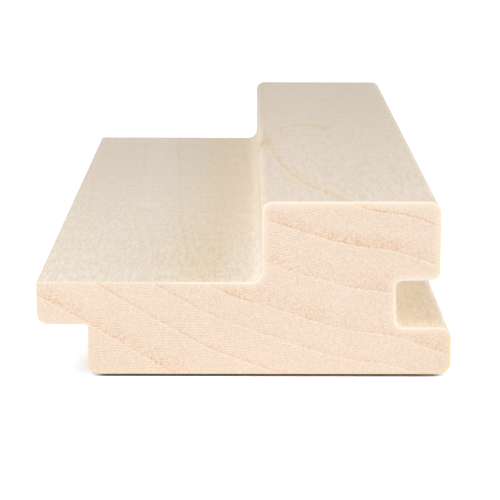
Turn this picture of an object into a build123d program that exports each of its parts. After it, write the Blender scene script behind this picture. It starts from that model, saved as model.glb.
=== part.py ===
from build123d import *
import os

# Stepped tongue and groove cladding board, planed from one piece of pale wood.
# Across its width it is a thin panel with a tongue along its left edge and a tall
# rib along its right edge. The groove runs under the rib, and its lower lip lies in
# the rebate under the next board's tongue, so that the rib hides the joint.
# The section is drawn in X and Z, and the board runs along Y. The back is at Z = 0,
# and the origin is the middle of the box round the board, on its back.
# All sizes are in millimetres.

# Board
board_length = 200.0
board_width = 66.5          # from the tongue's tip to the lip's edge
panel_thickness = 15.0
rib_height = 28.0           # from the back to the top of the rib
rib_width = 28.6

# Tongue, with the rebate under it
tongue_length = 8.2
tongue_thickness = 7.0

# Groove, cut to take the next board's tongue
lip_projection = 1.8        # how far the lip stands out past the rib
tip_gap = 0.7               # between a tongue's tip and the groove's floor
upper_play = 0.1            # above a tongue, at the groove's floor
lower_play = 0.3            # below a tongue
mouth_flare = 0.25          # the upper cheek rises this much to the groove's mouth

# Rounding of the long edges
back_edge_radius = 2.0
tongue_edge_radius = 2.0
lip_edge_radius = 1.7
mouth_edge_radius = 1.4
rib_edge_radius = 1.75
panel_edge_radius = 0.3
groove_root_radius = 1.1
cove_radius = 1.9           # where the panel meets the rib
shoulder_radius = 0.4       # where the tongue meets the rebate

# Places across the width, worked out from the sizes above
tongue_tip_x = -board_width / 2
lip_edge_x = board_width / 2
shoulder_x = tongue_tip_x + tongue_length
rib_side_x = lip_edge_x - lip_projection
riser_x = rib_side_x - rib_width
groove_floor_x = lip_edge_x - (tongue_length + tip_gap)

# Heights above the back
tongue_underside_z = panel_thickness - tongue_thickness
groove_base_z = tongue_underside_z - lower_play
groove_top_z = panel_thickness + upper_play
mouth_top_z = groove_top_z + mouth_flare


def section_corners():
    """The section's corners, anticlockwise from the back's left edge: (x, z, radius)."""
    return [
        (shoulder_x, 0, back_edge_radius),
        (lip_edge_x, 0, back_edge_radius),
        (lip_edge_x, groove_base_z, lip_edge_radius),
        (groove_floor_x, groove_base_z, groove_root_radius),
        (groove_floor_x, groove_top_z, groove_root_radius),
        (rib_side_x, mouth_top_z, mouth_edge_radius),
        (rib_side_x, rib_height, rib_edge_radius),
        (riser_x, rib_height, rib_edge_radius),
        (riser_x, panel_thickness, cove_radius),
        (tongue_tip_x, panel_thickness, panel_edge_radius),
        (tongue_tip_x, tongue_underside_z, tongue_edge_radius),
        (shoulder_x, tongue_underside_z, shoulder_radius),
    ]


def make_board():
    """The board: its rounded section, run along Y to both sides of the origin."""
    corners = section_corners()
    with BuildPart() as board:
        with BuildSketch(Plane.XZ):
            with BuildLine():
                FilletPolyline(
                    *[(x, z) for x, z, _ in corners],
                    radius=[radius for _, _, radius in corners],
                    close=True,
                )
            make_face()
        extrude(amount=board_length / 2, both=True)
    return board.part


os.makedirs("parts", exist_ok=True)
export_step(make_board(), "parts/board.step")
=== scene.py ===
"""The looks of a short tongue and groove cladding board, lying on its back on a white floor."""

import math

import bmesh
import bpy
import numpy as np
from mathutils import Matrix, Vector, geometry, noise


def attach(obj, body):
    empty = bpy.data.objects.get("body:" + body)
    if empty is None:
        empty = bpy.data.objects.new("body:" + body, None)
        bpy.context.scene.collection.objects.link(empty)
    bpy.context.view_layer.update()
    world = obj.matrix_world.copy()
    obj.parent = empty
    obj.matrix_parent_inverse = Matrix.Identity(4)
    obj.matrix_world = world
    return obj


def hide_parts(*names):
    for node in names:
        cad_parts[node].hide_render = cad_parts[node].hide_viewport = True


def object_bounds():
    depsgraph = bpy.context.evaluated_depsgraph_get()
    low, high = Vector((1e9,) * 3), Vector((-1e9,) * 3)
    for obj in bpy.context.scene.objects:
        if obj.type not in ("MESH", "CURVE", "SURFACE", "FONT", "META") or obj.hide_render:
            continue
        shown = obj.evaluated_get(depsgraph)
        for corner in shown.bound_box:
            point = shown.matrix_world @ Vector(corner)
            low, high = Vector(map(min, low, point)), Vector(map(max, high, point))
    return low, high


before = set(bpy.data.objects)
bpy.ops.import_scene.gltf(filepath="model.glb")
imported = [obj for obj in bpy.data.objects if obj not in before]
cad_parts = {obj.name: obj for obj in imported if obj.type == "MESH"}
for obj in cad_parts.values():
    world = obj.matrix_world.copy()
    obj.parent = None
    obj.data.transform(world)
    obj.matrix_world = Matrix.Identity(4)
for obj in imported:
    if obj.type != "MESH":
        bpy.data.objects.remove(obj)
cad_low, cad_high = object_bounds()

MM = 0.001

# The section, in millimetres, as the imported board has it
panel_thickness = 15.0
rib_height = 28.0
rib_width = 28.6
tongue_length = 8.2
tongue_thickness = 7.0
lip_projection = 1.8
tip_gap = 0.7
upper_play = 0.1
lower_play = 0.3
mouth_flare = 0.25
back_edge_radius = 2.0
tongue_edge_radius = 2.0
lip_edge_radius = 1.7
mouth_edge_radius = 1.4
rib_edge_radius = 1.75
panel_edge_radius = 0.3
groove_root_radius = 1.1
cove_radius = 1.9
shoulder_radius = 0.4

# Places worked out from the imported board's bounds and the sizes above
tongue_tip_x = cad_low.x / MM
lip_edge_x = cad_high.x / MM
front_y = cad_low.y / MM
back_y = cad_high.y / MM
shoulder_x = tongue_tip_x + tongue_length
rib_side_x = lip_edge_x - lip_projection
riser_x = rib_side_x - rib_width
groove_floor_x = lip_edge_x - (tongue_length + tip_gap)
underside_z = panel_thickness - tongue_thickness
groove_base_z = underside_z - lower_play
groove_top_z = panel_thickness + upper_play

# The sanded edge round each cut end. It grows across the board between two places, each
# with its rounding, and it is least on the back and along the groove's upper cheek.
rib_arris = 0.4
back_arris = 0.1
arris_across = ((-20.0, 0.18), (2.0, rib_arris))
arris_start = (0.5, 3.0)    # heights over which it grows from the back
cheek_start = 1.0           # the cheek counts from this far outside the groove's floor
cheek_clear = (0.6, 1.6)    # distances over which it grows from the cheek

# The mesh: steps round each arc, then along straight stretches, then over the cut ends
arc_steps = 8
arris_steps = 4
outline_step = 1.0
length_step = 2.0
support_inset = 0.06        # a loop this far inside the rounding keeps the flat end flat
cap_loops = (0.2, 0.5, 0.9, 1.4)    # further loops, so that tones can follow the end's outline
cap_grid = 0.8
loop_tolerance = 0.98       # a loop's points stay where they keep this share of its depth
cap_weld = 1e-6             # points of a cut end that are nearer than this become one
mesh_weld = 1e-7            # and points of the whole mesh, in metres
inside_only = 1            # what the triangulation calls triangles inside the outline alone

# Growth rings on the cut end. They fall from the tongue's side to the lip's side, and
# each pair is a place across the board and how far a ring has dropped there since x = 1.
ring_drop = [
    (-33, -18.3), (-26, -14.4), (-20, -10.8), (-13, -6.6), (-6, -2.6), (1, 0.0),
    (8, 2.4), (15, 4.5), (19, 5.2), (23, 5.6), (27, 6.7), (31, 8.3), (34, 9.3),
]
drop_shifts = (-1.5, -0.75, 0.0, 0.75, 1.5)     # the drop is the mean of its readings here
# Each ring: its line's height at x = 1, how deep the dark wood above the line is, how
# dark that wood is, and how strong the line is on the cut ends and on the long faces
rings = [
    (-14.8, 2.0, 0.5, 0.4, 0.1),
    (-5.4, 3.0, 1.0, 0.35, 0.1),
    (1.8, 1.1, 0.5, 0.2, 0.1),
    (7.3, 1.3, 0.4, 0.15, 0.1),
    (12.0, 3.6, 0.6, 0.3, 0.3),
    (19.0, 3.6, 0.6, 0.3, 0.15),
    (25.9, 2.4, 1.0, 0.4, 0.2),
    (32.2, 1.0, 0.5, 1.6, 1.0),
    (44.0, 1.0, 0.5, 0.5, 0.1),
    (52.0, 1.0, 0.5, 0.5, 0.1),
]
LINE_HEIGHT, DARK_DEPTH, DARK_SHARE, END_LINE, FACE_LINE = range(5)
ring_changeover = 0.08      # a ring's values start below its line, at this share of the way down
# Places on the cut end where a ring's line is crisp: across, up, and how far that goes
crisp_places = [(-11.0, 12.8, 4.5), (-2.5, 12.8, 4.0), (-20.5, 12.8, 6.0), (-1.5, 3.0, 3.0)]
crisp_strength = 0.7
ring_sink = 5.0             # the rings sink this much along the board, most of it early
ring_sink_reach = 75.0
# The rings wander broadly and finely: by how much, over what length across the board and
# along it, and a shift that keeps the two apart. They wander least on the front end.
ring_wanders = [(0.35, 22.0, 90.0, 0.0), (0.2, 6.0, 40.0, 9.0)]
least_wander = 0.25
wander_reach = 50.0

# Marks at chosen places. Each has its middle (across, from the cut end, up) and how far it
# reaches that way. A curl in the grain also has how much it sinks the rings, and the first
# one shows on the rib as a closed loop of the top ring.
curls = [
    ((13.2, 100.0, 28.0), (5.4, 14.0, 6.0), 5.0),
    ((14.5, 0.0, 28.0), (4.0, 40.0, 4.0), 0.5),
    ((21.5, 0.0, 26.5), (3.5, 40.0, 2.0), -0.45),
    ((-1.0, 0.0, 12.5), (3.5, 40.0, 2.5), -0.5),
]
knot = ((3.3, 82.0, 28.0), (1.2, 5.5, 2.0))         # a small one at the rib's left edge
wide_lines = ((16.0, 108.0, 28.0), (5.0, 7.0, 4.0))
faded_lines = ((3.5, 112.0, 28.0), (3.0, 22.0, 4.0))
end_line_width = 0.55
face_line_width = 0.45
widening = 2.8

# Bands inside the edges of the cut ends, partly lighter sanded wood and partly a painted
# highlight along the edges. The cream and the white one grow across the board between two
# places, each with its share. A warm one takes their place along the back and at the lip, and
# the white one leaves out the rib's outer side, less so at its top.
cream_across = ((-12.0, 0.15), (2.0, 1.0))
white_across = ((-18.0, 0.35), (-6.0, 1.0))
band_start = (1.0, 4.0)     # heights over which the two come in above the back
back_warmth = 0.6
lip_across = (lip_edge_x - 3.0, lip_edge_x - 1.0)
lip_up = (6.0, 8.0)
outer_across = (rib_side_x - 1.5, rib_side_x - 0.5)
outer_start = (8.0, 10.0)
outer_top = ((26.5, 1.0), (27.5, 0.3))

# Tones of the long faces, several of them painted light or shade. Two places are where a tone
# comes in or goes out, four are where it comes in and goes out again, and a pair gives the
# share of it at a place.
on_panel_up = (
    panel_thickness - 0.5, panel_thickness, panel_thickness + 0.5, panel_thickness + 3.0,
)
on_rib_up = (rib_height - 0.8, rib_height - 0.1)
# The panel's face and the rib's left side lie left of the first limit and above the second,
# and the groove lies right of its first, above its second and below its third
beside_rib_limits = (riser_x + 0.1, panel_thickness - 0.5)
groove_limits = (groove_floor_x - 0.1, groove_base_z - 0.1, groove_top_z + 0.4)
# Inside the groove the wood is painted warmer and lighter: painted light, bounced between its walls
# and reaching in from its open side
groove_painted_bounce = 0.6
groove_painted_light = ((26.0, 0.5), (30.0, 0.1))
# The warm streak along the panel by the riser is partly warmer wood and partly painted warm light,
# bounced off the riser
warm_across = (-17.0, -7.0, -2.8, 1.5)
# A pale band at the foot of the riser is painted light, as if bounced off the riser into the cove
cove_across = (-5.0, -0.8)
cove_up = (15.5, 19.0)
far_along = (25.0, 85.0)
# Far along, the wood by the riser is painted lighter and warmer: partly a warm streak in the wood
# and partly painted light against the shade of the corner
far_warm_across = ((-9.0, 0.0), (-2.0, 0.8), (-1.0, 0.8), (1.0, 0.4))
far_warm_up = ((15.5, 1.0), (19.0, 0.6))
# Far along, the middle of the panel is painted lighter: painted light against the shade from the
# rib
far_pale_across = (-26.0, -19.0, -9.0, -3.0)
far_painted_light_share = 0.45


def srgb(red, green, blue):
    """A colour written in the usual 0 to 255, as the numbers that nodes want."""
    colour = []
    for level in (red / 255, green / 255, blue / 255):
        colour.append(level / 12.92 if level <= 0.04045 else ((level + 0.055) / 1.055) ** 2.4)
    return tuple(colour)


# The wood's colours on the cut ends
end_wood = srgb(238, 218, 199)
end_dark_wood = srgb(230, 189, 155)
end_line_wood = srgb(233, 171, 116)
end_light_wood = srgb(246, 231, 214)
# The bands there: the attribute, how far from the edge it is full and gone, and its share
rims = [
    ("warm_band", 0.1, 0.95, 0.85, srgb(250, 226, 182)),
    ("cream_band", 0.3, 1.5, 0.8, srgb(248, 231, 207)),
    # the white band is partly a painted highlight along the edge
    ("white_band_and_highlight", 0.2, 0.48, 0.9, srgb(245, 239, 230)),
]
# And on the long faces, where each tone is laid over those before it. The warm streak is
# partly painted bounced light, the pale one painted light, the far one partly painted light,
# and the darker tone on the rib's top is painted shade.
face_wood = srgb(244, 230, 213)
face_tones = [
    ("warm_streak_and_bounce", srgb(244, 228, 201)),
    ("painted_light_streak", srgb(252, 241, 225)),
    ("far_streak_and_light", srgb(252, 236, 210)),
    # painted shade: the rib's top is painted darker than the panel's face of the same wood
    ("on_rib", srgb(236, 221, 202)),
]
face_dark_wood = srgb(240, 222, 196)
face_line_wood = srgb(230, 203, 150)
knot_wood = srgb(226, 201, 156)
tone_shares = (0.7, 1.0, 1.3)   # how much red, green and blue change: a darker speck is warmer
wood_roughness = 0.62
wood_shine = 0.3

# Noises in the wood: scale, detail and roughness. Those of the grain are drawn out along it.
fibre_stretch = (1.0, 0.08, 1.0)
speck_noise = (4800.0, 0.0, 0.5)
streak_noise = (1600.0, 3.0, 0.65)
pore_noise = (3400.0, 2.0, 0.6)
cloud_noise = (60.0, 3.0, 0.5)
ragged_noise = (1400.0, 3.0, 0.6)
patch_noise = (150.0, 3.0, 0.6)
stretch_noise = (160.0, 2.0, 0.5)
wobble_noise = (400.0, 1.0, 0.5)
worn_noise = (95.0, 2.0, 0.5)
drift_stretch = (0.3, 1.0, 0.3)
drift_noise = (60.0, 1.0, 0.5)
chatter_stretch = (0.05, 1.0, 0.05)
chatter_noise = (600.0, 2.0, 0.6)

# How the noises are read: two of their levels, and the shares there if not none and all
speck_levels = (0.32, 0.68)
patch_levels = (0.4, 0.6, 0.4, 1.0)         # of the rings' dark wood
stretch_levels = (0.42, 0.56, 0.6, 1.0)     # of their lines on the cut ends
worn_levels = (0.42, 0.6, 0.1, 0.8)         # of the saw's marks
speckled_line = (0.0, 1.0, 0.75, 1.0)       # of the lines, from speck to speck
speckled_dark = (0.4, 0.9)                  # and of the dark wood
ragged_reach = 0.06         # the lines stray this much
ragged_spread = 0.25
light_line_width = 0.5      # the light wood below each line

# How strongly each mark colours the wood
light_share = 0.5
dark_share = 0.2
end_line_share = 0.5
face_line_share = 0.7
knot_share = 0.9

# How much each mark lightens and darkens the wood
speck_tone = 0.06
pore_tone = 0.035
streak_tone = 0.09
chatter_tone = 0.012
cloud_tone = 0.02
saw_tone = 0.058
ripple_tone = 0.007
rib_texture = (1.1, 0.75)   # the strength of the faces' texture off the rib's top and on it
texture_length = 120.0      # along the faces the pores fade over this length
faded_texture = 0.45        # to this share

# And how high it stands
relief_height = 0.00004     # in metres
relief_strength = 0.25
speck_height = 0.4
saw_height = 0.25
ripple_height = 0.3

# Marks of the tools. The saw's marks on the cut ends are arcs round a far centre, and the
# planer's are ripples across the long faces.
saw_centre = (-10.0, 88.0)  # across and up
saw_pitch = 0.44
saw_wobble = 1.5            # in radians, as for the planer's drift
saw_band = (1.5, 3.5, 8.0, 11.0)    # heights: the marks are clear between the middle two
saw_clear = 0.85
planer_pitch = 5.5
planer_drift = 4.0

# The view, with the photograph taken as 500 pixels wide
picture_pixels = 500
focal_pixels = 2657.0
sensor_width = 36.0
camera_place = (0.1, -518.1, 86.8)
camera_pitch = 9.055
camera_yaw = -0.12
camera_roll = 0.1

# The floor, and how it shows: darkest under the board, a painted shadow, a little over white
# beside the cut end, and well over white in front and far away, which paints the shade in
# front of the cut end out to white
floor_size = 8.0            # in metres
floor_gap = 0.42            # a planed board doesn't lie quite flat, and shows a dark line under it, darkened by the floor's painted shadow
floor_colour = (0.8, 0.8, 0.8)
# painted shadow: the floor shows darker under the board
floor_painted_shadow = (0.6, 0.65, 0.73)
floor_beside = (1.2, 1.28, 1.4)
floor_far = (2.4, 2.4, 2.4)
floor_edge = 0.15           # how far it takes to change in front of the cut end
floor_blend = 0.7           # and half of what it takes by the back's rounded edges
floor_fade = (0.027, 0.05)  # and from beside the cut end to far away, in metres from its middle

# The light tent towards each side: its axis and sign, how bright it is round that side's
# middle, and how bright it is in the middle
tent = [
    ("X", -1, 0.5, 1.05),
    ("X", 1, 0.8, 2.4),
    ("Y", -1, 0.9, 1.55),
    ("Y", 1, 0.75, 0.95),
    ("Z", 1, 0.0, 0.3),
]
tent_sharpness = 3.0
# The lamps: name, azimuth, elevation, watts
lamps = [("left_box", -60, 40, 0.44), ("right_box", 60, 40, 0.22)]
lamp_size = 0.3             # in metres
lamp_reach = 0.3            # from the cut end to each lamp


def rising(value, places):
    """A share that grows from none to all between two places."""
    return np.interp(value, places, (0.0, 1.0))


def falling(value, places):
    """A share that falls from all to none between two places."""
    return np.interp(value, places, (1.0, 0.0))


def within(value, places):
    """A share that is all between the middle two of four places and none past the outer two."""
    return np.interp(value, places, (0.0, 1.0, 1.0, 0.0))


def graded(value, pairs):
    """The level at a place, by a list of chosen places and their levels."""
    places, levels = zip(*pairs)
    return np.interp(value, places, levels)


def nearness(x, y, z, place, reach):
    """One at a place, given as across, from the cut end and up, and falling off round it."""
    point = (x, y - front_y, z)
    away = [(value - centre) / size for value, centre, size in zip(point, place, reach)]
    return np.exp(-sum(gap ** 2 for gap in away))


def wander(x, y, z):
    """How far the rings stray at each place."""
    strayed = np.zeros(len(x))
    for amount, across, along, shift in ring_wanders:
        places = np.column_stack((x / across + shift, y / along, z / across))
        strayed = strayed + amount * np.array([noise.noise(Vector(place)) for place in places])
    return strayed


def growth(x, y, z):
    """Which ring a point lies in: whole numbers are the dark lines, and it grows upwards."""
    along = y - front_y
    drop = sum(graded(x + shift, ring_drop) for shift in drop_shifts) / len(drop_shifts)
    height = z + drop + ring_sink * (1 - np.exp(-along / ring_sink_reach))
    for place, reach, sink in curls:
        height = height - sink * nearness(x, y, z, place, reach)
    height = height + wander(x, y, z) * (1 + least_wander - np.exp(-along / wander_reach))
    levels = [ring[LINE_HEIGHT] for ring in rings]
    return np.interp(height, levels, np.arange(len(rings)))


def ring_index(ring, last):
    """The number of the ring that each point lies in, changed over just below its line."""
    return np.clip(np.floor(ring + ring_changeover).astype(int), 0, last)


def ring_value(ring, column):
    """A value of the ring that each point lies in."""
    return np.array([entry[column] for entry in rings])[ring_index(ring, len(rings) - 1)]


def ring_spacing(ring):
    """The height from the line below each point to the line above it."""
    levels = [entry[LINE_HEIGHT] for entry in rings]
    return np.diff(levels)[ring_index(ring, len(rings) - 2)]


def section_corners():
    """The section's corners, anticlockwise from the back's left edge: (x, z, radius)."""
    return [
        (shoulder_x, 0, back_edge_radius),
        (lip_edge_x, 0, back_edge_radius),
        (lip_edge_x, groove_base_z, lip_edge_radius),
        (groove_floor_x, groove_base_z, groove_root_radius),
        (groove_floor_x, groove_top_z, groove_root_radius),
        (rib_side_x, groove_top_z + mouth_flare, mouth_edge_radius),
        (rib_side_x, rib_height, rib_edge_radius),
        (riser_x, rib_height, rib_edge_radius),
        (riser_x, panel_thickness, cove_radius),
        (tongue_tip_x, panel_thickness, panel_edge_radius),
        (tongue_tip_x, underside_z, tongue_edge_radius),
        (shoulder_x, underside_z, shoulder_radius),
    ]


def rounded_corner(before, corner, after, radius):
    """The arc at a corner between its two neighbours: points and their outward directions."""
    arriving = (corner - before).normalized()
    leaving = (after - corner).normalized()
    cross = arriving.x * leaving.y - arriving.y * leaving.x
    turn = math.atan2(cross, arriving.dot(leaving))
    side = math.copysign(1.0, turn)
    start = corner - arriving * (radius * math.tan(abs(turn) / 2))
    outward = Vector((arriving.y, -arriving.x))
    centre = start - outward * (radius * side)
    arc = []
    for step in range(arc_steps + 1):
        direction = outward.copy()
        direction.rotate(Matrix.Rotation(turn * step / arc_steps, 2))
        arc.append((centre + direction * (radius * side), direction))
    return arc


def rounded_outline(corners):
    """Points round the section and their outward directions, with each corner as an arc."""
    places = [Vector((x, z)) for x, z, _ in corners]
    arcs = []
    for index, (_, _, radius) in enumerate(corners):
        after = places[(index + 1) % len(places)]
        arcs.append(rounded_corner(places[index - 1], places[index], after, radius))
    points = []
    for index, arc in enumerate(arcs):
        points += arc
        start, direction = arc[-1]
        end = arcs[(index + 1) % len(arcs)][0][0]
        pieces = max(1, round((end - start).length / outline_step))
        points += [(start.lerp(end, part / pieces), direction) for part in range(1, pieces)]
    outline = np.array([tuple(point) for point, _ in points])
    outwards = np.array([tuple(direction) for _, direction in points])
    return outline, outwards


def distance_to_outline(points, outline):
    """How far each point lies from the section's outline."""
    nearest = np.full(len(points), np.inf)
    for start, end in zip(outline, np.roll(outline, -1, axis=0)):
        run = end - start
        share = np.clip(((points - start) @ run) / (run @ run), 0, 1)
        gap = np.linalg.norm(points - (start + share[:, None] * run), axis=1)
        nearest = np.minimum(nearest, gap)
    return nearest


def inside_outline(points, outline):
    """Whether each point lies inside the outline, by counting the edges it looks across."""
    inside = np.zeros(len(points), bool)
    for (ax, az), (bx, bz) in zip(outline, np.roll(outline, -1, axis=0)):
        if az == bz:
            continue
        level = (az > points[:, 1]) != (bz > points[:, 1])
        reach = ax + (points[:, 1] - az) * (bx - ax) / (bz - az)
        inside ^= level & (points[:, 0] < reach)
    return inside


def arris_at(x, z):
    """The rounding of a cut end's edge at a place on the section."""
    beyond_floor = np.clip(groove_floor_x + cheek_start - x, 0, None)
    from_cheek = np.abs(z - groove_top_z - mouth_flare) + beyond_floor
    clear = rising(z, arris_start) * rising(from_cheek, cheek_clear)
    return back_arris + (graded(x, arris_across) - back_arris) * clear


def cap_mesh(outline, outwards):
    """Points and triangles of one flat end, inside its rounding."""
    arris = arris_at(outline[:, 0], outline[:, 1])
    rim = outline - outwards * arris[:, None]
    low, high = outline.min(axis=0), outline.max(axis=0)
    across = np.arange(low[0], high[0], cap_grid)
    upward = np.arange(low[1], high[1], cap_grid)
    depths = [arris + inset for inset in (support_inset, *cap_loops)]
    loops = [outline - outwards * depth[:, None] for depth in depths]
    loops.append(np.array([(x, z) for x in across for z in upward]))
    depths.append(rib_arris + cap_loops[-1] + cap_grid / 2)
    inner = []
    for points, depth in zip(loops, depths):
        clear = distance_to_outline(points, outline) > depth * loop_tolerance
        inner.append(points[clear & inside_outline(points, outline)])
    every = [Vector(point) for point in np.concatenate([rim, *inner])]
    edges = [(index, (index + 1) % len(rim)) for index in range(len(rim))]
    verts, _, faces, *_ = geometry.delaunay_2d_cdt(every, edges, [], inside_only, cap_weld)
    return [tuple(vert) for vert in verts], faces


def rounding_steps():
    """The rounding of an edge, from the flat end outwards: (depth, inset), as shares."""
    turns = [math.pi / 2 * step / arris_steps for step in range(arris_steps + 1)]
    return [(1 - math.cos(turn), 1 - math.sin(turn)) for turn in turns]


def long_loops(outline, outwards):
    """The loops of points along the board, from the front end's rounding to the back's."""
    arris = arris_at(outline[:, 0], outline[:, 1])[:, None]
    front = []
    back = []
    for depth, inset in rounding_steps():
        places = outline - outwards * arris * inset
        front.append(np.hstack((places, front_y + arris * depth)))
        back.append(np.hstack((places, back_y - arris * depth)))
    first = front_y + rib_arris + support_inset
    last = back_y - rib_arris - support_inset
    middle = []
    for y in np.linspace(first, last, round((last - first) / length_step) + 1):
        middle.append(np.hstack((outline, np.full((len(outline), 1), y))))
    return front + middle + back[::-1]


def board_mesh():
    """The whole board: the rounded section along its length, closed by its two cut ends."""
    outline, outwards = rounded_outline(section_corners())
    mesh = bmesh.new()
    loops = []
    for loop in long_loops(outline, outwards):
        loops.append([mesh.verts.new((x * MM, y * MM, z * MM)) for x, z, y in loop])
    for near, far in zip(loops, loops[1:]):
        for index in range(len(near)):
            after = (index + 1) % len(near)
            mesh.faces.new((near[index], near[after], far[after], far[index]))
    points, triangles = cap_mesh(outline, outwards)
    for y, flipped in ((front_y, False), (back_y, True)):
        verts = [mesh.verts.new((x * MM, y * MM, z * MM)) for x, z in points]
        for triangle in triangles:
            face = [verts[index] for index in triangle]
            mesh.faces.new(reversed(face) if flipped else face)
    bmesh.ops.remove_doubles(mesh, verts=mesh.verts, dist=mesh_weld)
    bmesh.ops.recalc_face_normals(mesh, faces=mesh.faces)
    data = bpy.data.meshes.new("planed_board")
    mesh.to_mesh(data)
    mesh.free()
    data.shade_smooth()
    return data, outline


def edge_bands(x, z):
    """How much of the cream, the white and the warm band of a cut end each place has.
    The bands are partly lighter sanded wood and partly a painted highlight.
    """
    above_back = rising(z, band_start)
    beside_lip = rising(x, lip_across) * falling(z, lip_up)
    outer_side = rising(x, outer_across) * rising(z, outer_start) * graded(z, outer_top)
    cream = graded(x, cream_across) * above_back * (1 - beside_lip)
    white = graded(x, white_across) * above_back * (1 - beside_lip) * (1 - outer_side)
    warm = np.maximum(back_warmth * (1 - above_back), beside_lip)
    return cream, white, warm


def face_streaks(x, y, z):
    """How much of the warm, the pale and the far tone each place on the long faces has. The pale
    one is painted light, and the warm and the far one are partly painted light.
    """
    on_panel = within(z, on_panel_up)
    far = rising(y - front_y, far_along)
    left_limit, lower_limit = beside_rib_limits
    beside_rib = (x < left_limit) * (z > lower_limit)
    floor_limit, base_limit, top_limit = groove_limits
    in_groove = (x > floor_limit) * (z > base_limit) * (z < top_limit)

    warm = np.maximum(on_panel * within(x, warm_across), groove_painted_bounce * in_groove)
    cove_painted_light = beside_rib * rising(x, cove_across) * falling(z, cove_up)
    far_painted_light = far_painted_light_share * far * on_panel * within(x, far_pale_across)
    pale = np.maximum(cove_painted_light, in_groove * graded(x, groove_painted_light))
    pale = np.maximum(pale, far_painted_light)
    far_warm = far * beside_rib * graded(x, far_warm_across) * graded(z, far_warm_up)
    return warm, pale, far_warm


def end_lines(x, z, ring):
    """How strong the ring's line is at each place on a cut end."""
    strength = ring_value(ring, END_LINE)
    for across, up, reach in crisp_places:
        away = (x - across) ** 2 + (z - up) ** 2
        strength = strength + crisp_strength * np.exp(-away / reach ** 2)
    return strength


def describe_wood(data, outline):
    """Writes where each point lies in the log and on the board, for the wood's nodes to read."""
    flat = np.empty(len(data.vertices) * 3, dtype=np.float32)
    data.vertices.foreach_get("co", flat)
    x, y, z = flat.reshape(-1, 3).T.astype(float) / MM
    ring = growth(x, y, z)
    from_end = np.minimum(y - front_y, back_y - y)
    end_grain = np.clip(1 - from_end / arris_at(x, z), 0, 1)
    on_faces = face_line_width + widening * nearness(x, y, z, *wide_lines)
    cream, white, warm = edge_bands(x, z)
    warm_streak_and_bounce, painted_light_streak, far_streak_and_light = face_streaks(x, y, z)
    described = {
        "line_width": on_faces + (end_line_width - on_faces) * end_grain,
        "knot": nearness(x, y, z, *knot),
        "ring": ring,
        "dark_depth": ring_value(ring, DARK_DEPTH),
        "dark_share": ring_value(ring, DARK_SHARE),
        "spacing": ring_spacing(ring),
        "end_line": end_lines(x, z, ring),
        "face_line": ring_value(ring, FACE_LINE) * (1 - nearness(x, y, z, *faded_lines)),
        "end_grain": end_grain,
        "inset": distance_to_outline(np.column_stack((x, z)), outline),
        "cream_band": cream,
        "white_band_and_highlight": white,
        "warm_band": warm,
        "warm_streak_and_bounce": warm_streak_and_bounce,
        "painted_light_streak": painted_light_streak,
        "far_streak_and_light": far_streak_and_light,
        "on_rib": rising(z, on_rib_up),
    }
    for name, values in described.items():
        attribute = data.attributes.new(name, "FLOAT", "POINT")
        attribute.data.foreach_set("value", np.asarray(values, dtype=np.float32))


class Graph:
    """Short calls that add nodes to a material or a world and link them."""

    def __init__(self, owner):
        owner.use_nodes = True
        self.tree = owner.node_tree
        self.tree.nodes.clear()

    def node(self, kind, settings=(), **inputs):
        """A node with its settings, and its inputs by name with underscores for spaces."""
        made = self.tree.nodes.new(kind)
        for name, value in dict(settings).items():
            setattr(made, name, value)
        for name, value in inputs.items():
            self.feed(made.inputs[name.replace("_", " ")], value)
        return made

    def feed(self, socket, value):
        """Links another node's output to an input, or sets the input to a number or a colour."""
        if isinstance(value, bpy.types.NodeSocket):
            self.tree.links.new(value, socket)
        elif hasattr(socket.default_value, "__len__") and len(socket.default_value) == 4:
            socket.default_value = (*value, 1.0)
        else:
            socket.default_value = value

    def feed_in_order(self, made, values):
        for socket, value in zip(made.inputs, values):
            self.feed(socket, value)
        return made.outputs

    def math(self, operation, *values, clamp=False):
        made = self.node("ShaderNodeMath", {"operation": operation, "use_clamp": clamp})
        return self.feed_in_order(made, values)[0]

    def vector(self, operation, *values):
        """Places worked together into another place, or into a number for a distance."""
        made = self.node("ShaderNodeVectorMath", {"operation": operation})
        kind = "Value" if operation == "DISTANCE" else "Vector"
        return self.feed_in_order(made, values)[kind]

    def product(self, first, *others, clamp=False):
        for other in others:
            first = self.math("MULTIPLY", first, other, clamp=clamp)
        return first

    def total(self, first, *others):
        for other in others:
            first = self.math("ADD", first, other)
        return first

    def ramp(self, value, low, high, start=0.0, end=1.0):
        """A number carried from low..high to start..end, and held at both ends."""
        made = self.node("ShaderNodeMapRange", {"clamp": True})
        return self.feed_in_order(made, (value, low, high, start, end))[0]

    def swing(self, value, reach, spread=0.2):
        """A noise's middle levels, carried to as much below nought as above it."""
        return self.ramp(value, 0.5 - spread, 0.5 + spread, -reach, reach)

    def between(self, share, first, second):
        """The number that lies a share of the way from the first to the second."""
        return self.total(first, self.product(self.math("SUBTRACT", second, first), share))

    def mix(self, share, first, second, blend="MIX"):
        """A colour that lies a share of the way from the first to the second."""
        made = self.node("ShaderNodeMix", {"data_type": "RGBA", "blend_type": blend})
        for index, value in ((0, share), (6, first), (7, second)):
            self.feed(made.inputs[index], value)
        return made.outputs[2]

    def attribute(self, name):
        settings = {"attribute_name": name, "attribute_type": "GEOMETRY"}
        return self.node("ShaderNodeAttribute", settings).outputs["Fac"]

    def noise(self, place, scale, detail, roughness):
        made = self.node(
            "ShaderNodeTexNoise", Vector=place, Scale=scale, Detail=detail, Roughness=roughness
        )
        return made.outputs["Fac"]

    def axes(self, place):
        return self.node("ShaderNodeSeparateXYZ", Vector=place).outputs


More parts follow.
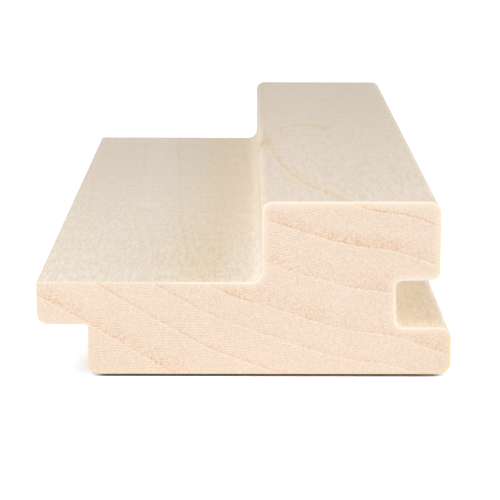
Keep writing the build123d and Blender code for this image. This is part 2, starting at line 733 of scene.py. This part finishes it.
def ring_marks(graph, fibres, specks):
    """The shares of dark wood above each ring's line, of the line, and of light wood below it."""
    spacing = graph.attribute("spacing")
    ragged = graph.swing(graph.noise(fibres, *ragged_noise), ragged_reach, ragged_spread)
    ring = graph.total(graph.attribute("ring"), graph.math("DIVIDE", ragged, spacing))
    above = graph.product(graph.math("FRACT", ring), spacing)
    below = graph.math("SUBTRACT", spacing, above)
    faded = graph.math("DIVIDE", above, graph.attribute("dark_depth"))
    dark = graph.math("SUBTRACT", 1.0, faded, clamp=True)
    patches = graph.ramp(graph.noise(fibres, *patch_noise), *patch_levels)
    dark = graph.product(dark, graph.attribute("dark_share"), patches)
    line = graph.ramp(above, 0.0, graph.attribute("line_width"), 1.0, 0.0)
    line = graph.product(line, graph.ramp(specks, *speckled_line))
    light = graph.ramp(below, 0.0, light_line_width, 1.0, 0.0)
    return dark, line, light


def saw_marks(graph, place, end_grain):
    """The saw's arcs on the cut ends, worn away in patches outside their clear band."""
    low, clear_from, clear_to, high = [height * MM for height in saw_band]
    height = graph.axes(place)["Z"]
    above_low = graph.ramp(height, low, clear_from)
    below_high = graph.ramp(height, clear_to, high, 1.0, 0.0)
    clear = graph.product(graph.math("MINIMUM", above_low, below_high), saw_clear)
    worn = graph.ramp(graph.noise(place, *worn_noise), *worn_levels)
    across, up = saw_centre
    on_section = graph.vector("MULTIPLY", place, (1.0, 0.0, 1.0))
    radius = graph.vector("DISTANCE", on_section, (across * MM, 0.0, up * MM))
    turns = graph.product(radius, 2 * math.pi / (saw_pitch * MM))
    wobble = graph.swing(graph.noise(place, *wobble_noise), saw_wobble)
    arcs = graph.math("SINE", graph.total(turns, wobble))
    return graph.product(arcs, graph.math("MAXIMUM", worn, clear), end_grain)


def planer_ripples(graph, place, end_grain):
    """The planer's ripples across the long faces."""
    drifting = graph.noise(graph.vector("MULTIPLY", place, drift_stretch), *drift_noise)
    turns = graph.product(graph.axes(place)["Y"], 2 * math.pi / (planer_pitch * MM))
    ripples = graph.math("SINE", graph.total(turns, graph.swing(drifting, planer_drift)))
    return graph.product(ripples, graph.math("SUBTRACT", 1.0, end_grain))


def end_colour(graph, fibres, specks, marks):
    """The cut ends' wood, with the rings' light and dark wood and their lines."""
    dark, line, light = marks
    colour = graph.mix(graph.product(light, light_share), end_wood, end_light_wood)
    colour = graph.mix(graph.product(dark, dark_share), colour, end_dark_wood)
    speckled = graph.product(dark, graph.ramp(specks, *speckled_dark))
    colour = graph.mix(speckled, colour, end_dark_wood)
    stretches = graph.ramp(graph.noise(fibres, *stretch_noise), *stretch_levels)
    lines = graph.product(line, stretches, graph.attribute("end_line"))
    return graph.mix(graph.product(lines, end_line_share, clamp=True), colour, end_line_wood)


def face_colour(graph, marks):
    """The long faces' wood, with the tones of its parts, some of them painted light and shade,
    the rings' lines and the knot.
    """
    dark, line, _ = marks
    colour = face_wood
    for name, tone in face_tones:
        colour = graph.mix(graph.attribute(name), colour, tone)
    colour = graph.mix(graph.product(dark, dark_share), colour, face_dark_wood)
    lines = graph.product(line, graph.attribute("face_line"))
    lines = graph.product(lines, face_line_share, clamp=True)
    colour = graph.mix(lines, colour, face_line_wood)
    return graph.mix(graph.product(graph.attribute("knot"), knot_share), colour, knot_wood)


def toned(graph, wood, tone):
    """The wood's colour, made lighter or darker by a tone."""
    tint = graph.node("ShaderNodeCombineXYZ")
    shares = [graph.total(1.0, graph.product(tone, share)) for share in tone_shares]
    return graph.mix(1.0, wood, graph.feed_in_order(tint, shares)[0], "MULTIPLY")


def rimmed(graph, wood, end_grain):
    """The wood's colour, with the bands inside the sanded edges of the cut ends, which are partly
    a painted highlight.
    """
    inset = graph.attribute("inset")
    for name, full, gone, strength, colour in rims:
        band = graph.ramp(inset, full, gone, strength, 0.0)
        wood = graph.mix(graph.product(band, graph.attribute(name), end_grain), wood, colour)
    return wood


def pale_wood():
    """Bare planed wood. Its rings run through the board, and its fibres run along it."""
    material = bpy.data.materials.new("pale_wood")
    graph = Graph(material)
    place = graph.node("ShaderNodeTexCoord").outputs["Object"]
    fibres = graph.vector("MULTIPLY", place, fibre_stretch)
    end_grain = graph.attribute("end_grain")

    # Pores, seen as specks on the ends and as fine streaks along the faces
    specks = graph.ramp(graph.noise(fibres, *speck_noise), *speck_levels)
    streaks = graph.noise(fibres, *streak_noise)
    pores = graph.noise(fibres, *pore_noise)
    clouds = graph.noise(fibres, *cloud_noise)
    chatter = graph.noise(graph.vector("MULTIPLY", place, chatter_stretch), *chatter_noise)
    texture_end = (front_y + texture_length) * MM
    along = graph.axes(place)["Y"]
    texture = graph.ramp(along, front_y * MM, texture_end, 1.0, faded_texture)

    marks = ring_marks(graph, fibres, specks)
    saw = saw_marks(graph, place, end_grain)
    ripples = planer_ripples(graph, place, end_grain)
    wood = graph.mix(end_grain, face_colour(graph, marks), end_colour(graph, fibres, specks, marks))

    speck_tones = graph.ramp(specks, 0.0, 1.0, speck_tone, -speck_tone)
    on_ends = graph.total(speck_tones, graph.swing(pores, pore_tone))
    on_faces = graph.total(speck_tones, graph.swing(streaks, streak_tone))
    by_part = graph.ramp(graph.attribute("on_rib"), 0.0, 1.0, *rib_texture)
    on_faces = graph.product(on_faces, texture, by_part)
    on_faces = graph.total(on_faces, graph.swing(chatter, chatter_tone))
    tone = graph.between(end_grain, on_faces, on_ends)
    tone = graph.total(tone, graph.swing(clouds, cloud_tone))
    tone = graph.total(tone, graph.product(saw, saw_tone), graph.product(ripples, ripple_tone))
    wood = rimmed(graph, toned(graph, wood, tone), end_grain)

    height = graph.total(graph.product(specks, speck_height), streaks)
    height = graph.total(height, graph.product(saw, saw_height))
    height = graph.total(height, graph.product(ripples, ripple_height))
    relief = graph.product(graph.between(end_grain, texture, 1.0), relief_strength)
    bump = graph.node("ShaderNodeBump", Strength=relief, Distance=relief_height, Height=height)
    shader = graph.node("ShaderNodeBsdfPrincipled", Base_Color=wood, Roughness=wood_roughness)
    graph.feed(shader.inputs["Specular IOR Level"], wood_shine)
    graph.feed(shader.inputs["Normal"], bump.outputs[0])
    graph.node("ShaderNodeOutputMaterial", Surface=shader.outputs[0])
    return material


def seen_directly(graph):
    """One where the camera sees the surface, in a mirror or through glass too."""
    rays = graph.node("ShaderNodeLightPath").outputs
    seen = graph.math("MAXIMUM", rays["Is Camera Ray"], rays["Is Glossy Ray"])
    return graph.math("MAXIMUM", seen, rays["Is Transmission Ray"])


def white_floor():
    """A white table. Where it is seen it is well over white in front of the board and far
    from it, which paints out the shade in front of the cut end, only a little over white beside
    the cut end, so that the board's shadow shows there, and darker under the board, a painted
    shadow."""
    material = bpy.data.materials.new("white_floor")
    graph = Graph(material)
    place = graph.node("ShaderNodeTexCoord").outputs["Object"]
    away = graph.vector("DISTANCE", place, (0.0, front_y * MM, 0.0))
    far = graph.ramp(away, *floor_fade)
    axes = graph.axes(place)
    in_front = graph.ramp(axes["Y"], (front_y - floor_edge) * MM, front_y * MM, 1.0, 0.0)
    edges = (shoulder_x + back_edge_radius, lip_edge_x - back_edge_radius)
    past_left, past_right = [
        graph.ramp(axes["X"], (edge - floor_blend) * MM, (edge + floor_blend) * MM)
        for edge in edges
    ]
    # painted shadow under the board, and the shade in front of the cut end painted out to white
    under = graph.math("SUBTRACT", past_left, past_right)
    shown = graph.mix(under, floor_beside, floor_painted_shadow)
    shown = graph.mix(graph.math("MAXIMUM", far, in_front), shown, floor_far)
    colour = graph.mix(seen_directly(graph), floor_colour, shown)
    shader = graph.node("ShaderNodeBsdfDiffuse", Color=colour)
    graph.node("ShaderNodeOutputMaterial", Surface=shader.outputs[0])
    bpy.ops.mesh.primitive_plane_add(size=floor_size, location=(0, 0, -floor_gap * MM))
    floor = bpy.context.object
    floor.name = "floor"
    floor.data.materials.append(material)


def studio_world():
    """A white light tent, of a strength for each side. It is plain white where it is seen."""
    world = bpy.data.worlds.new("studio")
    bpy.context.scene.world = world
    graph = Graph(world)
    axes = graph.axes(graph.node("ShaderNodeTexCoord").outputs["Generated"])
    lobes = []
    for axis, sign, broad, narrow in tent:
        towards = graph.math("MAXIMUM", graph.product(axes[axis], sign), 0.0)
        squared = graph.product(towards, towards)
        sharp = graph.math("POWER", squared, tent_sharpness)
        around = graph.product(graph.math("SUBTRACT", squared, sharp), broad)
        lobes.append(graph.total(around, graph.product(sharp, narrow)))
    light = graph.node("ShaderNodeBackground", Color=(1, 1, 1), Strength=graph.total(*lobes))
    shown = graph.node("ShaderNodeBackground", Color=(1, 1, 1), Strength=1.0)
    both = graph.node("ShaderNodeMixShader")
    graph.feed_in_order(both, (seen_directly(graph), light.outputs[0], shown.outputs[0]))
    graph.node("ShaderNodeOutputWorld", Surface=both.outputs[0])


def soft_lamp(name, azimuth, elevation, watts):
    """A square soft box in front of the cut end, turned to it."""
    data = bpy.data.lights.new(name, "AREA")
    data.energy = watts
    data.size = lamp_size
    lamp = bpy.data.objects.new(name, data)
    target = Vector((0, front_y, rib_height / 2)) * MM
    turn, rise = math.radians(azimuth), math.radians(elevation)
    level = math.cos(rise)
    back = Vector((math.sin(turn) * level, -math.cos(turn) * level, math.sin(rise)))
    lamp.location = target + back * lamp_reach
    lamp.rotation_euler = (-back).to_track_quat("-Z", "Y").to_euler()
    bpy.context.collection.objects.link(lamp)


def photo_camera():
    """The photograph's view of the cut end, from a little above."""
    data = bpy.data.cameras.new("camera")
    data.sensor_width = sensor_width
    data.lens = sensor_width * focal_pixels / picture_pixels
    camera = bpy.data.objects.new("camera", data)
    turn = Matrix.Rotation(math.radians(camera_yaw), 4, "Z")
    pitch = Matrix.Rotation(math.radians(90 - camera_pitch), 4, "X")
    roll = Matrix.Rotation(math.radians(camera_roll), 4, "Z")
    camera.matrix_world = Matrix.Translation(Vector(camera_place) * MM) @ turn @ pitch @ roll
    bpy.context.collection.objects.link(camera)
    bpy.context.scene.camera = camera


data, outline = board_mesh()
describe_wood(data, outline)
board = bpy.data.objects.new("planed_board", data)
bpy.context.collection.objects.link(board)
data.materials.append(pale_wood())
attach(board, "root")
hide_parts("board")

white_floor()
studio_world()
for name, azimuth, elevation, watts in lamps:
    soft_lamp(name, azimuth, elevation, watts)
photo_camera()

bpy.context.scene.view_settings.view_transform = "Standard"
